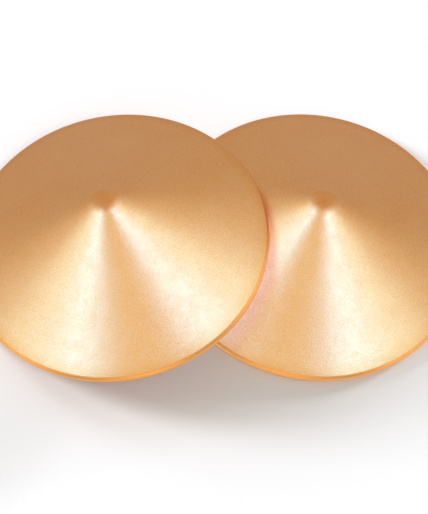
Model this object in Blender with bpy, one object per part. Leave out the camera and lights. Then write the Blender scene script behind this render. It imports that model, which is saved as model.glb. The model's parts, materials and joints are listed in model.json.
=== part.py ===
"""Pair of finger cymbals: two shallow turned bronze cones, one flat on the table, one leaning on it.

Each cymbal is held by an elastic finger loop under its tip. A domed rivet goes down through the
tip, a leather washer, the two lapped ends of the loop and a brass burr, and is peened below it.
Lengths are in metres. In a cymbal's own frame the axis is +Z and the rim stands on z = 0.
"""

from math import cos, pi, radians, sin, tan

import bmesh
import bpy
from mathutils import Matrix, Vector

MM = 0.001

# The bronze cone
RIM_RADIUS = 30.0 * MM
RIM_ROUND = 1.15 * MM
WALL = 2.0 * MM
FLANK_ANGLE = radians(32.0)
LAND_WIDTH = 0.7 * MM
LAND_CHAMFER = 0.45 * MM
TIP_SEAT_RADIUS = 3.24 * MM
TIP_HOLE_RADIUS = 1.60 * MM
INNER_FLAT_RADIUS = 4.0 * MM
CONE_SEGMENTS = 72
RIM_STEPS = 9
FLANK_STEPS = 4

# The fastening under the tip, from the top down
SEAT_GAP = 0.03 * MM
HEAD_RADIUS = 3.22 * MM
HEAD_EDGE = 0.05 * MM
HEAD_DOME = 0.90 * MM
SHANK_RADIUS = 1.50 * MM
RUNNING_HOLE_RADIUS = 1.58 * MM
LEATHER_RADIUS = 3.7 * MM
LEATHER_THICKNESS = 1.5 * MM
BURR_RADIUS = 3.0 * MM
BURR_THICKNESS = 0.6 * MM
PEEN_RADIUS = 2.3 * MM
PEEN_EDGE = 0.25 * MM
PEEN_DOME = 0.4 * MM
DOME_STEPS = 5
SMALL_SEGMENTS = 32

# The elastic finger loop
BAND_WIDTH = 8.0 * MM
BAND_THICKNESS = 1.0 * MM
LAP_THICKNESS = 1.9 * MM
LAP_HALF_LENGTH = 3.9 * MM
LAP_TAPER = 0.9 * MM
LOOP_HALF_WIDTH = 8.5 * MM
LOOP_FLAT_HALF = 3.0 * MM
LOOP_FLOOR_CLEARANCE = 1.2 * MM
LOOP_QUARTER_STEPS = 10
LOOP_FLAT_STEPS = 4

# How the pair lies: the left cymbal has its outer edge on the table and its inner edge up
LEAN_ANGLE = radians(14.2)
LEAN_DIRECTION = radians(9.5)
LEFT_CENTRE_X = -37.0 * MM
LEFT_CENTRE_Y = -15.0 * MM

CREASE_ANGLE = radians(35.0)
MERGE_DISTANCE = 1e-7


# Heights in a cymbal's own frame

def flank_start():
    """Where the rounded rim runs into the straight outer flank."""
    radius = RIM_RADIUS - RIM_ROUND + RIM_ROUND * sin(FLANK_ANGLE)
    height = RIM_ROUND + RIM_ROUND * cos(FLANK_ANGLE)
    return radius, height


def outer_height(radius):
    """Height of the outer flank at a radius."""
    start_radius, start_height = flank_start()
    return start_height + (start_radius - radius) * tan(FLANK_ANGLE)


def inner_height(radius):
    """Height of the inner flank at a radius."""
    return outer_height(radius) - WALL / cos(FLANK_ANGLE)


TIP_SEAT = outer_height(TIP_SEAT_RADIUS)
INNER_FLAT = inner_height(INNER_FLAT_RADIUS)
LEATHER_TOP = INNER_FLAT - SEAT_GAP
LOOP_TOP = LEATHER_TOP - LEATHER_THICKNESS - SEAT_GAP
BURR_TOP = LOOP_TOP - LAP_THICKNESS - SEAT_GAP
PEEN_TOP = BURR_TOP - BURR_THICKNESS - SEAT_GAP


# Helpers

def clear_scene():
    for item in list(bpy.data.objects):
        bpy.data.objects.remove(item, do_unlink=True)


def make_material(name, colour, roughness, metallic):
    material = bpy.data.materials.new(name)
    material.use_nodes = True
    shader = material.node_tree.nodes["Principled BSDF"]
    shader.inputs["Base Color"].default_value = (*colour, 1.0)
    shader.inputs["Roughness"].default_value = roughness
    shader.inputs["Metallic"].default_value = metallic
    material.diffuse_color = (*colour, 1.0)
    return material


def make_frame(name, parent, matrix):
    """An empty that carries the pieces of one cymbal, on its axis."""
    frame = bpy.data.objects.new(name, None)
    bpy.context.collection.objects.link(frame)
    frame.parent = parent
    frame.matrix_local = matrix
    frame.empty_display_size = 10 * MM
    return frame


def make_object(name, mesh_builder, frame, material):
    """Turn the mesh that a builder function makes into a named, smooth-shaded object."""
    mesh = bpy.data.meshes.new(name)
    solid = mesh_builder()
    bmesh.ops.recalc_face_normals(solid, faces=solid.faces)
    solid.to_mesh(mesh)
    solid.free()
    mesh.shade_smooth()
    mesh.set_sharp_from_angle(angle=CREASE_ANGLE)
    mesh.materials.append(material)
    item = bpy.data.objects.new(name, mesh)
    bpy.context.collection.objects.link(item)
    item.parent = frame
    return item


def arc(centre_radius, centre_height, radius, start, end, steps):
    """Points (radius, height) along an arc, both ends included."""
    points = []
    for step in range(steps + 1):
        angle = start + (end - start) * step / steps
        points.append((centre_radius + radius * cos(angle), centre_height + radius * sin(angle)))
    return points


def dome(edge_radius, edge_height, rise, steps):
    """Points of a shallow spherical cap from the axis to its edge; a negative rise hangs down."""
    sphere = (edge_radius ** 2 + rise ** 2) / (2 * abs(rise))
    side = 1 if rise > 0 else -1
    points = []
    for step in range(steps + 1):
        radius = edge_radius * step / steps
        drop = sphere - (sphere ** 2 - radius ** 2) ** 0.5
        points.append((radius, edge_height + rise - side * drop))
    return points


def turned(profile, segments, closed):
    """Spin a profile of (radius, height) points round the Z axis."""
    solid = bmesh.new()
    points = [solid.verts.new((radius, 0.0, height)) for radius, height in profile]
    edges = [solid.edges.new(pair) for pair in zip(points, points[1:])]
    if closed:
        edges.append(solid.edges.new((points[-1], points[0])))
    bmesh.ops.spin(solid, geom=points + edges, cent=(0, 0, 0), axis=(0, 0, 1), angle=2 * pi,
                   steps=segments, use_merge=True)
    bmesh.ops.remove_doubles(solid, verts=solid.verts, dist=MERGE_DISTANCE)
    return solid


# The pieces

def cone_mesh():
    """The bronze cone: rounded rim on a narrow flat land, straight flank, flat tip with a hole."""
    land_outer = RIM_RADIUS - RIM_ROUND
    land_inner = land_outer - LAND_WIDTH
    chamfer_end = land_inner - LAND_CHAMFER
    profile = [(land_inner, 0.0)]
    profile += arc(land_outer, RIM_ROUND, RIM_ROUND, -pi / 2, pi / 2 - FLANK_ANGLE, RIM_STEPS)
    start = flank_start()[0]
    for step in range(1, FLANK_STEPS + 1):
        radius = start + (TIP_SEAT_RADIUS - start) * step / FLANK_STEPS
        profile.append((radius, outer_height(radius)))
    profile.append((TIP_HOLE_RADIUS, TIP_SEAT))
    profile.append((TIP_HOLE_RADIUS, INNER_FLAT))
    for step in range(FLANK_STEPS + 1):
        radius = INNER_FLAT_RADIUS + (chamfer_end - INNER_FLAT_RADIUS) * step / FLANK_STEPS
        profile.append((radius, inner_height(radius)))
    return turned(profile, CONE_SEGMENTS, closed=True)


def rivet_mesh():
    """The tip rivet: domed head outside, shank down through the stack, peened end below."""
    head_edge = TIP_SEAT + SEAT_GAP + HEAD_EDGE
    peen_edge = PEEN_TOP - PEEN_EDGE
    profile = dome(HEAD_RADIUS, head_edge, HEAD_DOME, DOME_STEPS)
    profile.append((HEAD_RADIUS, TIP_SEAT + SEAT_GAP))
    profile.append((SHANK_RADIUS, TIP_SEAT + SEAT_GAP))
    profile.append((SHANK_RADIUS, PEEN_TOP))
    profile.append((PEEN_RADIUS, PEEN_TOP))
    profile += reversed(dome(PEEN_RADIUS, peen_edge, -PEEN_DOME, DOME_STEPS))
    return turned(profile, SMALL_SEGMENTS, closed=False)


def ring_mesh(outer_radius, hole_radius, top, thickness):
    """A flat washer."""
    profile = [
        (hole_radius, top),
        (outer_radius, top),
        (outer_radius, top - thickness),
        (hole_radius, top - thickness),
    ]
    return turned(profile, SMALL_SEGMENTS, closed=True)


def leather_mesh():
    return ring_mesh(LEATHER_RADIUS, RUNNING_HOLE_RADIUS, LEATHER_TOP, LEATHER_THICKNESS)


def burr_mesh():
    return ring_mesh(BURR_RADIUS, RUNNING_HOLE_RADIUS, BURR_TOP, BURR_THICKNESS)


def loop_outline():
    """Outside of the loop seen along the finger, from the middle of its clamped flat top."""
    half_height = (LOOP_TOP - LOOP_FLOOR_CLEARANCE) / 2
    middle = LOOP_FLOOR_CLEARANCE + half_height
    shoulder = LOOP_HALF_WIDTH - LOOP_FLAT_HALF
    half = []
    for step in range(LOOP_FLAT_STEPS):
        half.append((LOOP_FLAT_HALF * step / LOOP_FLAT_STEPS, LOOP_TOP))
    for step in range(LOOP_QUARTER_STEPS):
        angle = pi / 2 * step / LOOP_QUARTER_STEPS
        half.append((LOOP_FLAT_HALF + shoulder * sin(angle), middle + half_height * cos(angle)))
    for step in range(LOOP_QUARTER_STEPS + 1):
        angle = pi / 2 * step / LOOP_QUARTER_STEPS
        half.append((LOOP_HALF_WIDTH * cos(angle), middle - half_height * sin(angle)))
    mirrored = [(-x, z) for x, z in reversed(half[1:-1])]
    return half + mirrored


def band_thickness(x, z):
    """The band is double where its ends lap under the rivet."""
    if z < LOOP_TOP - LAP_THICKNESS:
        return BAND_THICKNESS
    blend = (LAP_HALF_LENGTH + LAP_TAPER - abs(x)) / LAP_TAPER
    blend = min(1.0, max(0.0, blend))
    return BAND_THICKNESS + (LAP_THICKNESS - BAND_THICKNESS) * blend


def loop_mesh():
    """The elastic band bent into a ring, as a strip extruded along the finger's direction."""
    outline = [Vector((x, 0.0, z)) for x, z in loop_outline()]
    count = len(outline)
    solid = bmesh.new()
    outer = []
    inner = []
    for index, point in enumerate(outline):
        along = (outline[(index + 1) % count] - outline[index - 1]).normalized()
        inwards = Vector((-along.z, 0.0, along.x)) * -1.0
        depth = band_thickness(point.x, point.z)
        start = point + Vector((0.0, -BAND_WIDTH / 2, 0.0))
        outer.append(solid.verts.new(start))
        inner.append(solid.verts.new(start + inwards * depth))
    for index in range(count):
        after = (index + 1) % count
        solid.faces.new((outer[index], outer[after], inner[after], inner[index]))
    extruded = bmesh.ops.extrude_face_region(solid, geom=list(solid.faces))
    moved = [item for item in extruded["geom"] if isinstance(item, bmesh.types.BMVert)]
    bmesh.ops.translate(solid, verts=moved, vec=(0.0, BAND_WIDTH, 0.0))
    return solid


def punch_mesh():
    """The punch for the shank's hole through both laps of the band."""
    solid = bmesh.new()
    length = LAP_THICKNESS * 2
    place = Matrix.Translation((0.0, 0.0, LOOP_TOP - LAP_THICKNESS / 2))
    bmesh.ops.create_cone(solid, cap_ends=True, segments=SMALL_SEGMENTS, depth=length,
                          radius1=RUNNING_HOLE_RADIUS, radius2=RUNNING_HOLE_RADIUS, matrix=place)
    return solid


def make_loop(side, frame, materials):
    loop = make_object(side + "_finger_loop", loop_mesh, frame, materials["elastic"])
    punch = make_object(side + "_loop_punch", punch_mesh, frame, materials["elastic"])
    punch.hide_render = True
    punch.display_type = "WIRE"
    hole = loop.modifiers.new("shank_hole", "BOOLEAN")
    hole.operation = "DIFFERENCE"
    hole.solver = "EXACT"
    hole.object = punch


def make_cymbal(side, frame, materials):
    """All five pieces of one cymbal."""
    make_object(side + "_cone", cone_mesh, frame, materials["bronze"])
    make_object(side + "_tip_rivet", rivet_mesh, frame, materials["bronze"])
    make_object(side + "_leather_washer", leather_mesh, frame, materials["leather"])
    make_object(side + "_rivet_burr", burr_mesh, frame, materials["brass"])
    make_loop(side, frame, materials)


def leaning_place():
    """Place of the left cymbal: tipped about a level line, its low edge just on the table."""
    tip_axis = (-sin(LEAN_DIRECTION), cos(LEAN_DIRECTION), 0.0)
    turn = Matrix.Rotation(-LEAN_ANGLE, 4, tip_axis)
    edge_centre = (RIM_RADIUS - RIM_ROUND) * sin(LEAN_ANGLE) + RIM_ROUND
    place = Matrix.Translation((LEFT_CENTRE_X, LEFT_CENTRE_Y, edge_centre))
    return place @ turn @ Matrix.Translation((0.0, 0.0, -RIM_ROUND))


def half_reach(axis_share):
    """How far a tipped rim reaches along a direction that the cymbal's axis has this share of."""
    return (RIM_RADIUS - RIM_ROUND) * (1 - axis_share ** 2) ** 0.5 + RIM_ROUND


def pair_centre():
    """Middle of the pair's footprint, seen from above, with the right cymbal's axis at 0, 0."""
    axis_x = -sin(LEAN_ANGLE) * cos(LEAN_DIRECTION)
    axis_y = -sin(LEAN_ANGLE) * sin(LEAN_DIRECTION)
    low_x = LEFT_CENTRE_X - half_reach(axis_x)
    low_y = LEFT_CENTRE_Y - half_reach(axis_y)
    return (low_x + RIM_RADIUS) / 2, (low_y + RIM_RADIUS) / 2


def main():
    clear_scene()
    materials = {
        "bronze": make_material("satin_bronze", (0.86, 0.50, 0.20), 0.38, 1.0),
        "brass": make_material("plain_brass", (0.80, 0.58, 0.25), 0.35, 1.0),
        "leather": make_material("tan_leather", (0.32, 0.17, 0.08), 0.7, 0.0),
        "elastic": make_material("black_elastic", (0.03, 0.03, 0.035), 0.85, 0.0),
    }
    centre_x, centre_y = pair_centre()
    pair = make_frame("pair", None, Matrix.Translation((-centre_x, -centre_y, 0.0)))
    right = make_frame("right_axis", pair, Matrix.Identity(4))
    left = make_frame("left_axis", pair, leaning_place())
    make_cymbal("right", right, materials)
    make_cymbal("left", left, materials)


main()
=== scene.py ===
"""Looks of a pair of finger cymbals: satin turned bronze cones, with riveted elastic loops inside.

Lengths are in metres. Each cymbal is modelled in its own frame, with its axis on +Z and its rim
standing on z = 0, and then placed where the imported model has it.
"""
import json
from math import asin, cos, pi, radians, sin, sqrt, tan

import bmesh
import bpy
from mathutils import Matrix, Vector


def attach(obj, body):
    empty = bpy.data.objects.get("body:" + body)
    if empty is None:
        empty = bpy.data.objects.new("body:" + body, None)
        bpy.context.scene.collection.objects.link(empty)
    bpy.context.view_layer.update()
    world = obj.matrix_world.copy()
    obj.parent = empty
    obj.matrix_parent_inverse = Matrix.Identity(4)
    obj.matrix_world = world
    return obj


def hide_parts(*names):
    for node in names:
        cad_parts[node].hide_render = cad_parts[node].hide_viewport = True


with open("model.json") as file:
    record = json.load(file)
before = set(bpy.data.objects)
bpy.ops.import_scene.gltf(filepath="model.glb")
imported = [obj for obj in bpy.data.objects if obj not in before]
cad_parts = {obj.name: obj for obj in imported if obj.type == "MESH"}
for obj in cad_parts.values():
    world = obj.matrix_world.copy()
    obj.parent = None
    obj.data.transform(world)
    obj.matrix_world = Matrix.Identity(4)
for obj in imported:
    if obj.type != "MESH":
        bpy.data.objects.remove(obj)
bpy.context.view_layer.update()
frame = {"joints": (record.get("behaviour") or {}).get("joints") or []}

MM = 0.001

# Driving sizes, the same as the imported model's
RIM_RADIUS = 30.0 * MM
RIM_ROUND = 1.15 * MM
WALL = 2.0 * MM
FLANK_ANGLE = radians(32.0)
LAND_WIDTH = 0.7 * MM
LAND_CHAMFER = 0.45 * MM
TIP_SEAT_RADIUS = 3.24 * MM
TIP_HOLE_RADIUS = 1.60 * MM
INNER_FLAT_RADIUS = 4.0 * MM
SEAT_GAP = 0.03 * MM
HEAD_RADIUS = 3.22 * MM
HEAD_EDGE = 0.05 * MM
HEAD_DOME = 0.90 * MM
SHANK_RADIUS = 1.50 * MM
RUNNING_HOLE_RADIUS = 1.58 * MM
LEATHER_RADIUS = 3.7 * MM
LEATHER_THICKNESS = 1.5 * MM
BURR_RADIUS = 3.0 * MM
BURR_THICKNESS = 0.6 * MM
PEEN_RADIUS = 2.3 * MM
PEEN_EDGE = 0.25 * MM
PEEN_DOME = 0.4 * MM
BAND_WIDTH = 8.0 * MM
LAP_THICKNESS = 1.9 * MM
LAP_HALF_LENGTH = 3.9 * MM
LOOP_HALF_WIDTH = 8.5 * MM
LOOP_FLAT_HALF = 3.0 * MM
LOOP_FLOOR_CLEARANCE = 1.2 * MM

# Finer shapes of the hidden fastening
EDGE_BREAK = 0.12 * MM
LEATHER_EDGE = 0.35 * MM
LAYER = 0.92 * MM
LAYER_STEP = 0.95 * MM
DIP_LENGTH = 1.3 * MM
RIB_PITCH = 0.8 * MM
RIB_DEPTH = 0.10 * MM
RIB_COUNT = 9
WEFT_PITCH = 0.5 * MM
STITCH_ROW = 3.45 * MM
STITCH_PITCH = 1.0 * MM
STITCH_COUNT = 7
STITCH_SIZE = (0.30 * MM, 0.82 * MM, 0.20 * MM)
LOOP_QUARTER_STEPS = 20
PEEN_DENTS = 9
PEEN_DENT_RADIUS = 0.8 * MM
PEEN_DENT_DEPTH = 0.09 * MM
PEEN_DENT_TURN = 2.4
PEEN_DENT_REACH = 0.75

SIDES = ("right", "left")
CONE_SEGMENTS = 240
RIVET_SEGMENTS = 128
RIM_STEPS = 24
FLANK_STEPS = 30
HEAD_STEPS = 24
PEEN_STEPS = 12
WASHER_EDGE_STEPS = 5
BAND_EDGE_STEPS = 8
RIB_STEPS = 6
LAP_STEPS = 3
FLAT_HALF_STEPS = 6
STITCH_SUBDIVISIONS = 3
CREASE = radians(30)
BAND_CREASE = radians(40)
MERGE_DISTANCE = 1e-7

# The view: nearly straight on, from well above, with a long lens and the camera rolled a little
VIEW_ELEVATION = radians(59.64)
VIEW_ROLL = radians(13.99)
VIEW_DISTANCE = 1.4556
VIEW_LENS = 517.7
SENSOR = 36.0
AIM = Vector((-0.00005, 0.00175, -0.00221))


# Where each cymbal is

def joint(name):
    return next(item for item in frame["joints"] if item["name"] == name)


HINGE_HEIGHT = joint("right_loop_swivel")["pos_m"][2]


def cymbal_place(side):
    """Matrix from a cymbal's own frame to the world, from its loop's hinge."""
    hinge = joint(side + "_loop_swivel")
    axis = Vector(hinge["axis"]).normalized()
    turn = Vector((0, 0, 1)).rotation_difference(axis).to_matrix().to_4x4()
    return Matrix.Translation(hinge["pos_m"]) @ turn @ Matrix.Translation((0, 0, -HINGE_HEIGHT))


PLACE = {side: cymbal_place(side) for side in SIDES}


# Heights in a cymbal's own frame

def flank_start():
    """Radius and height where the rounded rim runs into the straight outer flank."""
    radius = RIM_RADIUS - RIM_ROUND + RIM_ROUND * sin(FLANK_ANGLE)
    return radius, RIM_ROUND + RIM_ROUND * cos(FLANK_ANGLE)


def outer_height(radius):
    start_radius, start_height = flank_start()
    return start_height + (start_radius - radius) * tan(FLANK_ANGLE)


def inner_height(radius):
    return outer_height(radius) - WALL / cos(FLANK_ANGLE)


TIP_SEAT = outer_height(TIP_SEAT_RADIUS)
INNER_FLAT = inner_height(INNER_FLAT_RADIUS)
LEATHER_TOP = INNER_FLAT - SEAT_GAP
LOOP_TOP = LEATHER_TOP - LEATHER_THICKNESS - SEAT_GAP
BURR_TOP = LOOP_TOP - LAP_THICKNESS - SEAT_GAP
PEEN_TOP = BURR_TOP - BURR_THICKNESS - SEAT_GAP


# Material helpers

def linear(hex_colour):
    """sRGB hex colour to linear RGBA."""
    channels = []
    for start in (0, 2, 4):
        value = int(hex_colour[start:start + 2], 16) / 255
        channels.append(value / 12.92 if value <= 0.04045 else ((value + 0.055) / 1.055) ** 2.4)
    return (*channels, 1.0)


def add_node(tree, kind, settings=None, stops=(), **inputs):
    """Add a node with its settings, its colour stops and its links.

    An input is a value or a socket. Its name's spaces are written _, and i7 is input number 7.
    """
    node = tree.nodes.new(kind)
    for name, value in (settings or {}).items():
        setattr(node, name, value)
    for number, (position, hex_colour) in enumerate(stops):
        node.color_ramp.elements[number].position = position
        node.color_ramp.elements[number].color = linear(hex_colour)
    for name, value in inputs.items():
        key = int(name[1:]) if name[0] == "i" and name[1:].isdigit() else name.replace("_", " ")
        socket = node.inputs[key]
        if isinstance(value, bpy.types.NodeSocket):
            tree.links.new(value, socket)
        else:
            socket.default_value = value
    return node


def new_material(name):
    """A material with only its shader and output, and the shader's settings left to set."""
    material = bpy.data.materials.new(name)
    material.use_nodes = True
    tree = material.node_tree
    return material, tree, tree.nodes["Principled BSDF"]


def size_scale(feature):
    """Noise scale that gives features of this size in metres."""
    return 1.0 / feature


def cymbal_coordinates(tree, side):
    """Object coordinates turned into the cymbal's own frame, so rings run round its axis."""
    place = PLACE[side]
    coordinates = add_node(tree, "ShaderNodeTexCoord")
    mapping = add_node(tree, "ShaderNodeMapping", {"vector_type": "TEXTURE"},
                       Vector=coordinates.outputs["Object"], Location=place.translation,
                       Rotation=place.to_euler())
    return mapping.outputs["Vector"]


def axis_distance(tree, place):
    """Distance from the cymbal's axis, in metres."""
    flat = add_node(tree, "ShaderNodeVectorMath", {"operation": "MULTIPLY"}, i0=place, i1=(1, 1, 0))
    length = add_node(tree, "ShaderNodeVectorMath", {"operation": "LENGTH"}, i0=flat.outputs[0])
    return length.outputs["Value"]


# Materials. Most noise values lie between these two.
NOISE_LOW = 0.3
NOISE_HIGH = 0.7

# Bronze
CLOUD_SIZE = 11 * MM
BLOTCH_SIZE = 1.7 * MM
GRAIN_SIZE = 0.2 * MM
RING_SIZE = 0.8 * MM
# Painted shade: radii and share of the deeper orange painted round the tip
TIP_SHADE_RADII = (3.4 * MM, 1.2 * MM)
TIP_SHADE_SHARE = 0.4
# Painted highlight: half width and share of the lighter ring painted at the rivet's seam
SEAM_HALF_WIDTH = 0.4 * MM
SEAM_HIGHLIGHT_SHARE = 0.25
# Painted shade: radii and share of the deeper orange painted towards the rim
RIM_SHADE_RADII = (27.4 * MM, 29.7 * MM)
RIM_SHADE_SHARE = 0.6
RINGS_GROW = (18 * MM, 28 * MM)
RINGS_LEAST = 0.25
SPECK_SPACING = 5.0 * MM
SPECK_SIZE = 0.22 * MM
SPECK_SHARE = 0.14
RING_HEIGHT = 0.006 * MM
BLOTCH_HEIGHT = 0.008 * MM
GRAIN_HEIGHT = 0.025 * MM


def bronze_material(side):
    """Bell bronze, turned and then bead blasted: satin, sparkling, with faint rings by the rim."""
    material, tree, shader = new_material("satin_blasted_bronze_" + side)
    place = cymbal_coordinates(tree, side)
    radius = axis_distance(tree, place)
    shader.inputs["Metallic"].default_value = 1.0

    cloud = add_node(tree, "ShaderNodeTexNoise", Vector=place, Scale=size_scale(CLOUD_SIZE),
                     Detail=4.0, Roughness=0.6, Distortion=0.6)
    blotch = add_node(tree, "ShaderNodeTexNoise", Vector=place, Scale=size_scale(BLOTCH_SIZE),
                      Detail=2.0, Roughness=0.6)
    # Blasting grit leaves 0.1 mm dimples; they are drawn 0.4 mm wide, or they would not show
    grain = add_node(tree, "ShaderNodeTexNoise", Vector=place, Scale=size_scale(GRAIN_SIZE),
                     Detail=1.0, Roughness=0.6)
    rings = add_node(tree, "ShaderNodeTexNoise", {"noise_dimensions": "1D"}, W=radius,
                     Scale=size_scale(RING_SIZE), Detail=2.0, Roughness=0.6)

    broad = add_node(tree, "ShaderNodeValToRGB", None, ((0.3, "EFA763"), (0.7, "F3B271")),
                     Fac=cloud.outputs["Fac"])
    fine = add_node(tree, "ShaderNodeValToRGB", None, ((0.35, "ED9440"), (0.65, "F4BE86")),
                    Fac=grain.outputs["Fac"])
    metal = add_node(tree, "ShaderNodeMix", {"data_type": "RGBA"}, i0=0.5,
                     i6=broad.outputs["Color"], i7=fine.outputs["Color"])
    # Painted shade: a deeper orange is painted round the tip, where the metal shows a darker
    # reflection
    tip_shade_mask = add_node(tree, "ShaderNodeMapRange", Value=radius, From_Min=TIP_SHADE_RADII[0],
                        From_Max=TIP_SHADE_RADII[1], To_Max=TIP_SHADE_SHARE)
    tip_shaded = add_node(tree, "ShaderNodeMix", {"data_type": "RGBA"},
                       i0=tip_shade_mask.outputs["Result"], i6=metal.outputs[2], i7=linear("F89E4A"))
    # Painted highlight: a lighter ring is painted where the rivet's head meets the flank
    from_seam = add_node(tree, "ShaderNodeMath", {"operation": "SUBTRACT"}, i0=radius,
                         i1=HEAD_RADIUS)
    off_seam = add_node(tree, "ShaderNodeMath", {"operation": "ABSOLUTE"},
                        i0=from_seam.outputs["Value"])
    seam_highlight_mask = add_node(tree, "ShaderNodeMapRange", Value=off_seam.outputs["Value"],
                       From_Min=SEAM_HALF_WIDTH, From_Max=0.0, To_Max=SEAM_HIGHLIGHT_SHARE)
    seam_highlighted = add_node(tree, "ShaderNodeMix", {"data_type": "RGBA"}, i0=seam_highlight_mask.outputs["Result"],
                      i6=tip_shaded.outputs[2], i7=linear("F9BE86"))
    # Painted shade: a deeper orange is painted towards the rim, standing in for the darker band
    # that its rolled edge shows
    rim_shade_mask = add_node(tree, "ShaderNodeMapRange", Value=radius, From_Min=RIM_SHADE_RADII[0],
                         From_Max=RIM_SHADE_RADII[1], To_Max=RIM_SHADE_SHARE)
    rim_shaded = add_node(tree, "ShaderNodeMix", {"data_type": "RGBA"}, i0=rim_shade_mask.outputs["Result"],
                     i6=seam_highlighted.outputs[2], i7=linear("EB9A4A"))
    # Scattered dark casting specks: one in a few of the cells
    cells = add_node(tree, "ShaderNodeTexVoronoi", Vector=place, Scale=size_scale(SPECK_SPACING))
    near = add_node(tree, "ShaderNodeMapRange", Value=cells.outputs["Distance"],
                    From_Min=SPECK_SIZE / SPECK_SPACING, From_Max=SPECK_SIZE / SPECK_SPACING / 2)
    chosen = add_node(tree, "ShaderNodeMath", {"operation": "LESS_THAN"},
                      i0=cells.outputs["Color"], i1=SPECK_SHARE)
    speck = add_node(tree, "ShaderNodeMath", {"operation": "MULTIPLY"}, i0=near.outputs["Result"],
                     i1=chosen.outputs["Value"])
    colour = add_node(tree, "ShaderNodeMix", {"data_type": "RGBA"}, i0=speck.outputs["Value"],
                      i6=rim_shaded.outputs[2], i7=linear("A86A34"))
    tree.links.new(colour.outputs[2], shader.inputs["Base Color"])

    gloss = add_node(tree, "ShaderNodeMapRange", Value=blotch.outputs["Fac"],
                     From_Min=NOISE_LOW, From_Max=NOISE_HIGH, To_Min=0.33, To_Max=0.39)
    tree.links.new(gloss.outputs["Result"], shader.inputs["Roughness"])

    # The rings are plainest near the rim, where the last cut was taken
    near_rim = add_node(tree, "ShaderNodeMapRange", Value=radius, From_Min=RINGS_GROW[0],
                        From_Max=RINGS_GROW[1], To_Min=RINGS_LEAST)
    ring_height = add_node(tree, "ShaderNodeMath", {"operation": "MULTIPLY"},
                           i0=rings.outputs["Fac"], i1=near_rim.outputs["Result"])
    turned_bump = add_node(tree, "ShaderNodeBump", Height=ring_height.outputs["Value"],
                           Strength=1.0, Distance=RING_HEIGHT)
    blotch_bump = add_node(tree, "ShaderNodeBump", Height=blotch.outputs["Fac"], Strength=1.0,
                           Distance=BLOTCH_HEIGHT, Normal=turned_bump.outputs["Normal"])
    blast_bump = add_node(tree, "ShaderNodeBump", Height=grain.outputs["Fac"], Strength=1.0,
                          Distance=GRAIN_HEIGHT, Normal=blotch_bump.outputs["Normal"])
    tree.links.new(blast_bump.outputs["Normal"], shader.inputs["Normal"])
    return material


# Brass
STAIN_SIZE = 2.2 * MM
SCRATCH_SIZE = 0.12 * MM
SCRATCH_HEIGHT = 0.004 * MM


def brass_material(side):
    """Plain stamped brass: yellower and smoother than the bronze, with round tool scratches."""
    material, tree, shader = new_material("stamped_brass_" + side)
    place = cymbal_coordinates(tree, side)
    shader.inputs["Metallic"].default_value = 1.0
    stain = add_node(tree, "ShaderNodeTexNoise", Vector=place, Scale=size_scale(STAIN_SIZE),
                     Detail=3.0)
    scratches = add_node(tree, "ShaderNodeTexNoise", {"noise_dimensions": "1D"},
                         W=axis_distance(tree, place), Scale=size_scale(SCRATCH_SIZE), Detail=2.0)
    colour = add_node(tree, "ShaderNodeValToRGB", None, ((0.3, "C9A562"), (0.7, "E3C788")),
                      Fac=stain.outputs["Fac"])
    tree.links.new(colour.outputs["Color"], shader.inputs["Base Color"])
    # Stained spots are duller
    gloss = add_node(tree, "ShaderNodeMapRange", Value=stain.outputs["Fac"],
                     From_Min=NOISE_LOW, From_Max=NOISE_HIGH, To_Min=0.42, To_Max=0.26)
    tree.links.new(gloss.outputs["Result"], shader.inputs["Roughness"])
    bump = add_node(tree, "ShaderNodeBump", Height=scratches.outputs["Fac"], Strength=1.0,
                    Distance=SCRATCH_HEIGHT)
    tree.links.new(bump.outputs["Normal"], shader.inputs["Normal"])
    return material


# Leather
HIDE_TONE_SIZE = 2.5 * MM
PORE_SPACING = 0.35 * MM
PORE_DEPTH = 0.05 * MM
FIBRE_SIZE = 0.7 * MM
FIBRE_STRETCH = 5.0
FIBRE_HEIGHT = 0.08 * MM


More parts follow.
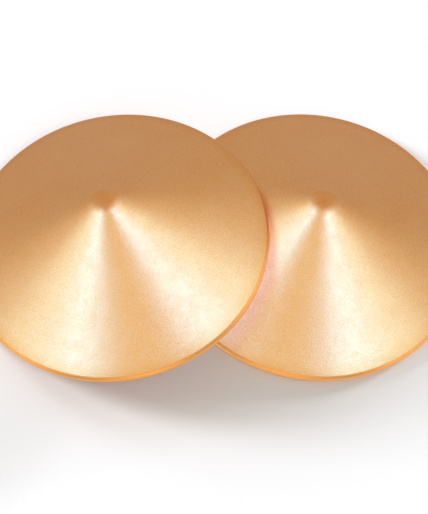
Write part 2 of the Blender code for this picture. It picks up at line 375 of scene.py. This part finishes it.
def leather_material(side):
    """Tan vegetable-tanned leather: pored face, darker fibrous cut edge."""
    material, tree, shader = new_material("tan_leather_" + side)
    place = cymbal_coordinates(tree, side)
    tone = add_node(tree, "ShaderNodeTexNoise", Vector=place, Scale=size_scale(HIDE_TONE_SIZE),
                    Detail=4.0)
    pores = add_node(tree, "ShaderNodeTexVoronoi", Vector=place, Scale=size_scale(PORE_SPACING))
    layers = add_node(tree, "ShaderNodeMapping", Vector=place, Scale=(1.0, 1.0, FIBRE_STRETCH))
    fibres = add_node(tree, "ShaderNodeTexNoise", Vector=layers.outputs["Vector"],
                      Scale=size_scale(FIBRE_SIZE), Detail=3.0)
    face = add_node(tree, "ShaderNodeValToRGB", None, ((0.3, "8F5F38"), (0.7, "B58253")),
                    Fac=tone.outputs["Fac"])
    cut = add_node(tree, "ShaderNodeValToRGB", None, ((0.3, "5E3A20"), (0.7, "8A5C38")),
                   Fac=fibres.outputs["Fac"])
    edge = add_node(tree, "ShaderNodeMapRange", Value=axis_distance(tree, place),
                    From_Min=LEATHER_RADIUS - LEATHER_EDGE,
                    From_Max=LEATHER_RADIUS - LEATHER_EDGE / 2)
    colour = add_node(tree, "ShaderNodeMix", {"data_type": "RGBA"}, i0=edge.outputs["Result"],
                      i6=face.outputs["Color"], i7=cut.outputs["Color"])
    tree.links.new(colour.outputs[2], shader.inputs["Base Color"])
    dullness = add_node(tree, "ShaderNodeMapRange", Value=tone.outputs["Fac"],
                        From_Min=NOISE_LOW, From_Max=NOISE_HIGH, To_Min=0.62, To_Max=0.78)
    tree.links.new(dullness.outputs["Result"], shader.inputs["Roughness"])
    pore_bump = add_node(tree, "ShaderNodeBump", Height=pores.outputs["Distance"], Strength=0.6,
                         Distance=PORE_DEPTH)
    fibre_bump = add_node(tree, "ShaderNodeBump", Height=fibres.outputs["Fac"], Strength=0.8,
                          Distance=FIBRE_HEIGHT, Normal=pore_bump.outputs["Normal"])
    tree.links.new(fibre_bump.outputs["Normal"], shader.inputs["Normal"])
    return material


# Elastic and its thread
WEAVE_HEIGHT = 0.06 * MM
YARN_SIZE = 0.25 * MM
YARN_HEIGHT = 0.04 * MM
TWIST_SIZE = 0.2 * MM
TWIST_HEIGHT = 0.03 * MM
TWIST_SLANT = radians(35)
TWIST_STRETCH = 3.0


def elastic_material(side):
    """Black woven elastic: matte yarn over rubber cords, with a weft pick every half millimetre."""
    material, tree, shader = new_material("woven_elastic_" + side)
    place = cymbal_coordinates(tree, side)
    along = add_node(tree, "ShaderNodeAttribute", {"attribute_name": "along"})
    parts = add_node(tree, "ShaderNodeSeparateXYZ", Vector=place)
    cord = add_node(tree, "ShaderNodeMath", {"operation": "DIVIDE"}, i0=parts.outputs["Y"],
                    i1=RIB_PITCH)
    cord_number = add_node(tree, "ShaderNodeMath", {"operation": "FLOOR"},
                           i0=cord.outputs["Value"])
    pick = add_node(tree, "ShaderNodeMath", {"operation": "DIVIDE"}, i0=along.outputs["Fac"],
                    i1=WEFT_PITCH)
    # Each cord's picks lie half a pick further on than its neighbour's
    half_turns = add_node(tree, "ShaderNodeMath", {"operation": "MULTIPLY_ADD"},
                          i0=cord_number.outputs["Value"], i1=0.5, i2=pick.outputs["Value"])
    angle = add_node(tree, "ShaderNodeMath", {"operation": "MULTIPLY"},
                     i0=half_turns.outputs["Value"], i1=2 * pi)
    wave = add_node(tree, "ShaderNodeMath", {"operation": "SINE"}, i0=angle.outputs["Value"])
    over = add_node(tree, "ShaderNodeMapRange", Value=wave.outputs["Value"], From_Min=-1.0)
    yarn = add_node(tree, "ShaderNodeTexNoise", Vector=place, Scale=size_scale(YARN_SIZE),
                    Detail=3.0)
    # Painted shade: the yarn is drawn darker where the weave dips, with the yarn's random tone on
    # top
    dip_shade_and_yarn_tone = add_node(tree, "ShaderNodeMath", {"operation": "MULTIPLY"}, i0=over.outputs["Result"],
                    i1=yarn.outputs["Fac"])
    colour = add_node(tree, "ShaderNodeValToRGB", None, ((0.1, "121214"), (0.7, "3A3A40")),
                      Fac=dip_shade_and_yarn_tone.outputs["Value"])
    tree.links.new(colour.outputs["Color"], shader.inputs["Base Color"])
    dullness = add_node(tree, "ShaderNodeMapRange", Value=yarn.outputs["Fac"],
                        From_Min=NOISE_LOW, From_Max=NOISE_HIGH, To_Min=0.75, To_Max=0.92)
    tree.links.new(dullness.outputs["Result"], shader.inputs["Roughness"])
    shader.inputs["Sheen Weight"].default_value = 0.25
    weave_bump = add_node(tree, "ShaderNodeBump", Height=over.outputs["Result"], Strength=1.0,
                          Distance=WEAVE_HEIGHT)
    yarn_bump = add_node(tree, "ShaderNodeBump", Height=yarn.outputs["Fac"], Strength=0.7,
                         Distance=YARN_HEIGHT, Normal=weave_bump.outputs["Normal"])
    tree.links.new(yarn_bump.outputs["Normal"], shader.inputs["Normal"])
    return material


def thread_material(side):
    """Twisted polyester sewing thread, dark grey, with a slight lustre on its twist."""
    material, tree, shader = new_material("polyester_thread_" + side)
    place = cymbal_coordinates(tree, side)
    slant = add_node(tree, "ShaderNodeMapping", Vector=place, Rotation=(0, 0, TWIST_SLANT),
                     Scale=(1.0, TWIST_STRETCH, 1.0))
    twist = add_node(tree, "ShaderNodeTexNoise", Vector=slant.outputs["Vector"],
                     Scale=size_scale(TWIST_SIZE), Detail=2.0)
    colour = add_node(tree, "ShaderNodeValToRGB", None, ((0.3, "3C3C42"), (0.7, "7A7A82")),
                      Fac=twist.outputs["Fac"])
    tree.links.new(colour.outputs["Color"], shader.inputs["Base Color"])
    lustre = add_node(tree, "ShaderNodeMapRange", Value=twist.outputs["Fac"],
                      From_Min=NOISE_LOW, From_Max=NOISE_HIGH, To_Min=0.45, To_Max=0.6)
    tree.links.new(lustre.outputs["Result"], shader.inputs["Roughness"])
    bump = add_node(tree, "ShaderNodeBump", Height=twist.outputs["Fac"], Strength=0.8,
                    Distance=TWIST_HEIGHT)
    tree.links.new(bump.outputs["Normal"], shader.inputs["Normal"])
    return material


def floor_material():
    """Pale matte table."""
    material, tree, shader = new_material("pale_matte_table")
    shader.inputs["Base Color"].default_value = linear("E0E0E0")
    shader.inputs["Roughness"].default_value = 0.9
    shader.inputs["Specular IOR Level"].default_value = 0.0
    # From below the table is clear, so that the undersides can be looked at
    face = add_node(tree, "ShaderNodeNewGeometry")
    clear = add_node(tree, "ShaderNodeBsdfTransparent")
    mix = add_node(tree, "ShaderNodeMixShader", i0=face.outputs["Backfacing"],
                   i1=shader.outputs["BSDF"], i2=clear.outputs["BSDF"])
    output = tree.nodes["Material Output"]
    tree.links.new(mix.outputs["Shader"], output.inputs["Surface"])
    return material


# Mesh helpers

def arc(centre_radius, centre_height, radius, start, end, steps):
    points = []
    for step in range(steps + 1):
        angle = start + (end - start) * step / steps
        points.append((centre_radius + radius * cos(angle), centre_height + radius * sin(angle)))
    return points


def straight(start, end, steps):
    """Points after the start up to and with the end."""
    points = []
    for step in range(1, steps + 1):
        share = step / steps
        points.append((start[0] + (end[0] - start[0]) * share,
                       start[1] + (end[1] - start[1]) * share))
    return points


def dome(edge_radius, edge_height, rise, steps):
    """Points of a shallow spherical cap from the axis to its edge; a negative rise hangs down."""
    sphere = (edge_radius ** 2 + rise ** 2) / (2 * abs(rise))
    side = 1 if rise > 0 else -1
    points = []
    for step in range(steps + 1):
        radius = edge_radius * step / steps
        drop = sphere - sqrt(sphere ** 2 - radius ** 2)
        points.append((radius, edge_height + rise - side * drop))
    return points


def turned(profile, segments, closed):
    """Spin a profile of (radius, height) points round the Z axis."""
    solid = bmesh.new()
    points = [solid.verts.new((radius, 0.0, height)) for radius, height in profile]
    edges = [solid.edges.new(pair) for pair in zip(points, points[1:])]
    if closed:
        edges.append(solid.edges.new((points[-1], points[0])))
    bmesh.ops.spin(solid, geom=points + edges, cent=(0, 0, 0), axis=(0, 0, 1), angle=2 * pi,
                   steps=segments, use_merge=True)
    bmesh.ops.remove_doubles(solid, verts=solid.verts, dist=MERGE_DISTANCE)
    bmesh.ops.recalc_face_normals(solid, faces=solid.faces)
    return solid


def add_piece(name, solid, side, material):
    """Make a piece from a bmesh in a cymbal's own frame, with its place in its mesh."""
    mesh = bpy.data.meshes.new(name)
    solid.to_mesh(mesh)
    solid.free()
    mesh.transform(PLACE[side])
    mesh.shade_smooth()
    mesh.set_sharp_from_angle(angle=CREASE)
    mesh.materials.append(material)
    piece = bpy.data.objects.new(name, mesh)
    bpy.context.scene.collection.objects.link(piece)
    return piece


# Pieces

def cone_solid():
    """The bronze cone: bullnosed rim on a narrow flat land, straight flank, hollow inside."""
    land_outer = RIM_RADIUS - RIM_ROUND
    land_inner = land_outer - LAND_WIDTH
    chamfer_end = land_inner - LAND_CHAMFER
    profile = [(land_inner, 0.0)]
    profile += arc(land_outer, RIM_ROUND, RIM_ROUND, -pi / 2, pi / 2 - FLANK_ANGLE, RIM_STEPS)
    profile += straight(profile[-1], (TIP_SEAT_RADIUS, TIP_SEAT), FLANK_STEPS)
    profile += [(TIP_HOLE_RADIUS, TIP_SEAT), (TIP_HOLE_RADIUS, INNER_FLAT)]
    profile.append((INNER_FLAT_RADIUS, INNER_FLAT))
    profile += straight(profile[-1], (chamfer_end, inner_height(chamfer_end)), FLANK_STEPS)
    return turned(profile, CONE_SEGMENTS, closed=True)


def rivet_solid():
    # The head is burnished down flush with the flank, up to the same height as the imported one
    head_edge = TIP_SEAT + SEAT_GAP
    peen_edge = PEEN_TOP - PEEN_EDGE
    profile = dome(HEAD_RADIUS, head_edge, HEAD_EDGE + HEAD_DOME, HEAD_STEPS)
    profile.append((SHANK_RADIUS, head_edge))
    profile.append((SHANK_RADIUS, PEEN_TOP))
    profile.append((PEEN_RADIUS, PEEN_TOP))
    profile += reversed(dome(PEEN_RADIUS, peen_edge, -PEEN_DOME, PEEN_STEPS))
    return turned(profile, RIVET_SEGMENTS, closed=False)


def dent_peen(solid):
    """Hammer marks on the peened end: shallow round dents in its domed face."""
    for number in range(PEEN_DENTS):
        angle = number * PEEN_DENT_TURN
        distance = PEEN_RADIUS * PEEN_DENT_REACH * sqrt((number + 0.5) / PEEN_DENTS)
        middle = Vector((distance * cos(angle), distance * sin(angle)))
        for point in solid.verts:
            if point.co.z < PEEN_TOP - PEEN_EDGE:
                near = 1 - ((point.co.xy - middle).length / PEEN_DENT_RADIUS) ** 2
                if near > 0:
                    point.co.z += PEEN_DENT_DEPTH * near ** 2


def washer_solid(outer, hole, top, thickness, edge, segments):
    """A washer with rounded edges."""
    low = top - thickness + edge
    high = top - edge
    steps = WASHER_EDGE_STEPS
    profile = arc(outer - edge, high, edge, pi / 2, 0, steps)
    profile += arc(outer - edge, low, edge, 0, -pi / 2, steps)
    profile += arc(hole + edge, low, edge, -pi / 2, -pi, steps)
    profile += arc(hole + edge, high, edge, pi, pi / 2, steps)
    return turned(profile, segments, closed=True)


def loop_middle():
    """Half height of the loop and the height of its middle."""
    half_height = (LOOP_TOP - LOOP_FLOOR_CLEARANCE) / 2
    return half_height, LOOP_FLOOR_CLEARANCE + half_height


def loop_surface():
    """Outside of the loop from its upper end, once round, to its lower end, as (x, z) points."""
    half_height, middle = loop_middle()
    shoulder = LOOP_HALF_WIDTH - LOOP_FLAT_HALF

    def upper(angle):
        return LOOP_FLAT_HALF + shoulder * sin(angle), middle + half_height * cos(angle)

    lap_angle = asin((LAP_HALF_LENGTH - LOOP_FLAT_HALF) / shoulder)
    lap = [upper(lap_angle * step / LAP_STEPS) for step in range(LAP_STEPS, 0, -1)]
    quarter = [pi / 2 * step / LOOP_QUARTER_STEPS for step in range(LOOP_QUARTER_STEPS + 1)]
    right = [upper(angle) for angle in quarter]
    right += [(LOOP_HALF_WIDTH * cos(angle), middle - half_height * sin(angle))
              for angle in quarter[1:]]
    left = [(-x, z) for x, z in reversed(right[:-1])]
    flat = [(LOOP_FLAT_HALF * (step / FLAT_HALF_STEPS - 1), LOOP_TOP)
            for step in range(1, FLAT_HALF_STEPS * 2)]
    first_pass = [(-x, z) for x, z in lap] + [(-LOOP_FLAT_HALF, LOOP_TOP)] + flat
    last_pass = flat + [(LOOP_FLAT_HALF, LOOP_TOP)] + [(x, z) for x, z in reversed(lap)]
    return first_pass + right + left, last_pass


def loop_path():
    """Middle line of the band: it dips under its own upper end before it is clamped."""
    round_part, last_pass = loop_surface()
    points = [Vector((x, 0.0, z)) for x, z in round_part + last_pass]
    last_side = len(round_part) - LOOP_QUARTER_STEPS
    path = []
    for number, point in enumerate(points):
        before = points[max(number - 1, 0)]
        after = points[min(number + 1, len(points) - 1)]
        along = (after - before).normalized()
        inwards = Vector((along.z, 0.0, -along.x))
        depth = LAYER / 2
        if number > last_side:
            share = (point.x + LAP_HALF_LENGTH + DIP_LENGTH) / DIP_LENGTH
            share = min(1.0, max(0.0, share))
            depth += LAYER_STEP * share * share * (3 - 2 * share)
        path.append(point + inwards * depth)
    return path


def band_section():
    """Cross-section of the band, as (across, up) points: rounded cords side by side."""
    half_width = BAND_WIDTH / 2
    edge = LAYER / 2 - RIB_DEPTH
    ribbed = RIB_COUNT * RIB_PITCH / 2
    top = []
    for step in range(RIB_COUNT * RIB_STEPS + 1):
        across = -ribbed + RIB_PITCH * step / RIB_STEPS
        top.append((across, edge + RIB_DEPTH * abs(sin(pi * step / RIB_STEPS))))
    right = arc(half_width - edge, 0.0, edge, pi / 2, -pi / 2, BAND_EDGE_STEPS)[1:-1]
    bottom = [(across, -up) for across, up in reversed(top)]
    left = [(-across, -up) for across, up in right]
    return top + right + bottom + left


def swept(section, path):
    """Carry a closed section along a path in the XZ plane, and note how far along it is."""
    solid = bmesh.new()
    distance = solid.verts.layers.float.new("along")
    places = []
    for number, point in enumerate(path):
        before = path[max(number - 1, 0)]
        after = path[min(number + 1, len(path) - 1)]
        along = (after - before).normalized()
        up = along.cross(Vector((0, 1, 0)))
        frame_axes = Matrix((along, Vector((0, 1, 0)), up)).transposed().to_4x4()
        places.append(Matrix.Translation(point) @ frame_axes)
    points = [solid.verts.new(places[0] @ Vector((0, across, up))) for across, up in section]
    edges = [solid.edges.new(pair) for pair in zip(points, points[1:] + points[:1])]
    bmesh.ops.contextual_create(solid, geom=edges)
    travelled = 0.0
    for number in range(1, len(path)):
        extruded = bmesh.ops.extrude_edge_only(solid, edges=edges)["geom"]
        points = [item for item in extruded if isinstance(item, bmesh.types.BMVert)]
        edges = [item for item in extruded if isinstance(item, bmesh.types.BMEdge)
                 and item.is_boundary]
        step = places[number] @ places[number - 1].inverted()
        bmesh.ops.transform(solid, matrix=step, verts=points)
        travelled += (path[number] - path[number - 1]).length
        for point in points:
            point[distance] = travelled
    bmesh.ops.contextual_create(solid, geom=edges)
    bmesh.ops.recalc_face_normals(solid, faces=solid.faces)
    return solid


def punch_hole(piece, side):
    """Cut the shank's hole through both laps of the band, and keep only the result."""
    cutter = bmesh.new()
    place = Matrix.Translation((0, 0, LOOP_TOP - LAP_THICKNESS / 2))
    bmesh.ops.create_cone(cutter, cap_ends=True, segments=RIVET_SEGMENTS // 2,
                          radius1=RUNNING_HOLE_RADIUS, radius2=RUNNING_HOLE_RADIUS,
                          depth=LAP_THICKNESS * 2, matrix=place)
    punch = add_piece(side + "_punch", cutter, side, piece.data.materials[0])
    hole = piece.modifiers.new("shank_hole", "BOOLEAN")
    hole.operation = "DIFFERENCE"
    hole.solver = "EXACT"
    hole.object = punch
    finished = piece.evaluated_get(bpy.context.evaluated_depsgraph_get())
    mesh = bpy.data.meshes.new_from_object(finished)
    piece.modifiers.clear()
    old_mesh = piece.data
    piece.data = mesh
    bpy.data.meshes.remove(old_mesh)
    bpy.data.objects.remove(punch, do_unlink=True)
    mesh.shade_smooth()
    mesh.set_sharp_from_angle(angle=BAND_CREASE)


def stitches_solid():
    """Two rows of stitches across the lap, half sunk in the face towards the finger."""
    solid = bmesh.new()
    low_face = LOOP_TOP - LAYER_STEP - LAYER + RIB_DEPTH / 2
    for row in (-STITCH_ROW, STITCH_ROW):
        for number in range(STITCH_COUNT):
            across = (number - (STITCH_COUNT - 1) / 2) * STITCH_PITCH
            place = Matrix.Translation((row, across, low_face))
            place = place @ Matrix.Diagonal((*STITCH_SIZE, 1.0))
            bmesh.ops.create_icosphere(solid, subdivisions=STITCH_SUBDIVISIONS, radius=0.5,
                                       matrix=place)
    return solid


def make_piece(name, solid, side, material, body, node):
    """Add a piece, and say what it rides on, which CAD node it stands for and its finish."""
    piece = add_piece(f"{side}_{name}", solid, side, material)
    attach(piece, f"{side}_{body}")
    if node:
        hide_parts(f"{side}_{node}")
    return piece


def make_cymbal(side):
    """All the pieces of one cymbal."""
    bronze = bronze_material(side)
    elastic = elastic_material(side)
    rivet = rivet_solid()
    dent_peen(rivet)
    washer = washer_solid(LEATHER_RADIUS, RUNNING_HOLE_RADIUS, LEATHER_TOP, LEATHER_THICKNESS,
                          LEATHER_EDGE, RIVET_SEGMENTS)
    burr = washer_solid(BURR_RADIUS, RUNNING_HOLE_RADIUS, BURR_TOP, BURR_THICKNESS, EDGE_BREAK,
                        RIVET_SEGMENTS)
    pieces = [
        make_piece("cymbal_cone", cone_solid(), side, bronze, "cymbal", "cone"),
        make_piece("domed_rivet", rivet, side, bronze, "cymbal", "tip_rivet"),
        make_piece("leather_disc", washer, side, leather_material(side), "cymbal",
                   "leather_washer"),
        make_piece("brass_burr", burr, side, brass_material(side), "cymbal", "rivet_burr"),
        make_piece("elastic_band", swept(band_section(), loop_path()), side, elastic, "loop",
                   "finger_loop"),
        make_piece("band_stitching", stitches_solid(), side, thread_material(side), "loop",
                   None),
    ]
    punch_hole(pieces[4], side)
    return pieces


# Stage: floor, view and light

TABLE_RADIUS = 4.0
TABLE_SEGMENTS = 96
TABLE_DROP = 0.02 * MM
VIEW_CLIP_END = 10.0

STRIP_LIGHTS = (
    # azimuth on the flank, half angles across and up, radiance
    (28.5, (8.5, 20.0), (1.10, 3.70, 11.2)),
    (50.0, (14.0, 16.0), (0.74, 1.80, 3.4)),
    (74.0, (17.0, 17.0), (0.29, 0.40, 0.5)),
)
FRONT_FILL = (0.0, (20.0, 20.0), (0.40, 0.57, 0.33))
# Low lights in front for the upper half of the round rim, and the light thrown up on its lower
# half by the bright table: azimuths, then slope, half angles and radiance of each
RIM_AZIMUTHS = (-50.0, 0.0, 50.0)
RIM_LIGHTS = (
    (radians(56), (24.0, 20.0), (0.80, 0.72, 0.42)),
    (radians(80), (32.0, 30.0), (0.42, 0.50, 0.40)),
)
SOFTBOX_DISTANCE = 1.2
# Small change of slope that shows which way up a softbox stands
TILT = radians(1)
# Share of a light that only the cymbal's own pieces stop; both cymbals stop the rest
OWN_SHARE = 0.62
STUDIO_GREY = 0.6
CEILING = (0.62, 0.40, 0.12, 1.0)
CEILING_EDGE = radians(36)
CEILING_CORE = radians(14)
TABLE_GREY = 0.745
SUN_TINT = (0.87, 0.92, 1.0)
TABLE_SUNS = (
    # azimuth from straight behind towards the right, elevation, half angle, share of the white
    (-90.0, 19.0, 8.5, 0.24),
    (41.0, 13.0, 6.0, 0.14),
    (150.0, 60.0, 9.0, 0.12),
    (-58.0, 25.0, 12.0, 0.07),
)


def make_floor():
    solid = bmesh.new()
    bmesh.ops.create_circle(solid, cap_ends=True, radius=TABLE_RADIUS,
                            segments=TABLE_SEGMENTS)
    mesh = bpy.data.meshes.new("table")
    solid.to_mesh(mesh)
    solid.free()
    mesh.materials.append(floor_material())
    table = bpy.data.objects.new("table", mesh)
    table.location.z = -TABLE_DROP
    bpy.context.scene.collection.objects.link(table)
    # Metal mirrors the even studio light instead of the brightly lit table
    table.visible_glossy = False
    return table


def view_axes():
    """Right, up and back of the rolled camera."""
    back = Vector((0, -cos(VIEW_ELEVATION), sin(VIEW_ELEVATION)))
    level_right = Vector((1, 0, 0))
    level_up = back.cross(level_right)
    right = level_right * cos(VIEW_ROLL) + level_up * sin(VIEW_ROLL)
    return right, back.cross(right), back


def make_camera():
    right, up, back = view_axes()
    data = bpy.data.cameras.new("view")
    data.lens = VIEW_LENS
    data.sensor_width = SENSOR
    data.clip_end = VIEW_CLIP_END
    camera = bpy.data.objects.new("view", data)
    turn = Matrix((right, up, back)).transposed().to_4x4()
    camera.matrix_world = Matrix.Translation(AIM + back * VIEW_DISTANCE) @ turn
    bpy.context.scene.collection.objects.link(camera)
    bpy.context.scene.camera = camera


def flank_reflection(side, azimuth, slope=FLANK_ANGLE):
    """Direction that a slope mirrors to the camera, at an azimuth from its nearest line."""
    back = view_axes()[2]
    axis = (PLACE[side].to_3x3() @ Vector((0, 0, 1))).normalized()
    front = (back - axis * back.dot(axis)).normalized()
    across = front.cross(axis)
    outwards = front * cos(azimuth) + across * sin(azimuth)
    normal = axis * cos(slope) + outwards * sin(slope)
    return normal * (2 * normal.dot(back)) - back


def link_light(light, receivers, blockers=None):
    """Let a light fall on the receivers only, and only the blockers stop it."""
    links = light.light_linking
    links.receiver_collection = bpy.data.collections.new(light.name + "_receivers")
    for receiver in receivers:
        links.receiver_collection.objects.link(receiver)
    if blockers:
        links.blocker_collection = bpy.data.collections.new(light.name + "_blockers")
        for blocker in blockers:
            links.blocker_collection.objects.link(blocker)


def add_softbox(name, target, direction, up, half_angles, radiance, pieces, blockers):
    """An elliptical softbox of a given radiance, seen under two half angles, for one cymbal."""
    data = bpy.data.lights.new(name, "AREA")
    data.shape = "ELLIPSE"
    half_width = SOFTBOX_DISTANCE * tan(radians(half_angles[0]))
    half_height = SOFTBOX_DISTANCE * tan(radians(half_angles[1]))
    data.size = half_width * 2
    data.size_y = half_height * 2
    strength = max(radiance)
    data.color = [channel / strength for channel in radiance]
    data.energy = strength * pi * pi * half_width * half_height
    light = bpy.data.objects.new(name, data)
    across = up.cross(direction).normalized()
    turn = Matrix((across, direction.cross(across), direction)).transposed().to_4x4()
    light.matrix_world = Matrix.Translation(target + direction * SOFTBOX_DISTANCE) @ turn
    light.visible_camera = False
    link_light(light, pieces, blockers)
    bpy.context.scene.collection.objects.link(light)


def light_cymbal(side, pieces, all_pieces):
    """A tall softbox and its spill each side, a dim fill between them, and the rim's lights."""
    target = PLACE[side] @ Vector((0, 0, TIP_SEAT / 2))
    boxes = [("fill", FRONT_FILL[0], FLANK_ANGLE, *FRONT_FILL[1:])]
    for azimuth in RIM_AZIMUTHS:
        for slope, half_angles, radiance in RIM_LIGHTS:
            boxes.append((f"rim_light_{len(boxes)}", azimuth, slope, half_angles, radiance))
    for number, (azimuth, half_angles, radiance) in enumerate(STRIP_LIGHTS):
        boxes.append((f"softbox_{number}_a", -azimuth, FLANK_ANGLE, half_angles, radiance))
        boxes.append((f"softbox_{number}_b", azimuth, FLANK_ANGLE, half_angles, radiance))
    for name, azimuth, slope, half_angles, radiance in boxes:
        azimuth = radians(azimuth)
        direction = flank_reflection(side, azimuth, slope)
        up = flank_reflection(side, azimuth, slope - TILT) - direction
        for share, blockers in ((OWN_SHARE, pieces), (1 - OWN_SHARE, all_pieces)):
            part = [channel * share for channel in radiance]
            add_softbox(f"{side}_{name}", target, direction, up, half_angles, part, pieces,
                        blockers)


def light_table(table):
    """Broad, low lights that make the table white and leave a soft shadow in front."""
    for number, (azimuth, elevation, half_angle, share) in enumerate(TABLE_SUNS):
        azimuth = radians(azimuth)
        elevation = radians(elevation)
        direction = Vector((sin(azimuth) * cos(elevation), cos(azimuth) * cos(elevation),
                            sin(elevation)))
        data = bpy.data.lights.new(f"table_light_{number}", "SUN")
        data.angle = radians(half_angle) * 2
        data.color = SUN_TINT
        data.energy = share * pi / (TABLE_GREY * sin(elevation) * SUN_TINT[0])
        light = bpy.data.objects.new(data.name, data)
        light.location = direction
        light.rotation_euler = direction.to_track_quat("Z", "Y").to_euler()
        link_light(light, [table])
        bpy.context.scene.collection.objects.link(light)


def make_world():
    """Even grey studio with a darker, warmer ceiling straight above."""
    world = bpy.data.worlds.new("studio")
    world.use_nodes = True
    tree = world.node_tree
    coordinates = add_node(tree, "ShaderNodeTexCoord")
    parts = add_node(tree, "ShaderNodeSeparateXYZ", Vector=coordinates.outputs["Generated"])
    overhead = add_node(tree, "ShaderNodeMapRange", Value=parts.outputs["Z"],
                        From_Min=cos(CEILING_EDGE), From_Max=cos(CEILING_CORE))
    sky = add_node(tree, "ShaderNodeMix", {"data_type": "RGBA"}, i0=overhead.outputs["Result"],
                   i6=(STUDIO_GREY, STUDIO_GREY, STUDIO_GREY, 1.0), i7=CEILING)
    tree.links.new(sky.outputs[2], tree.nodes["Background"].inputs["Color"])
    bpy.context.scene.world = world


def main():
    make_camera()
    pieces = {side: make_cymbal(side) for side in SIDES}
    table = make_floor()
    for side in SIDES:
        light_cymbal(side, pieces[side], pieces["right"] + pieces["left"])
    light_table(table)
    make_world()
    settings = bpy.context.scene.view_settings
    settings.view_transform = "Standard"
    settings.look = "None"


main()
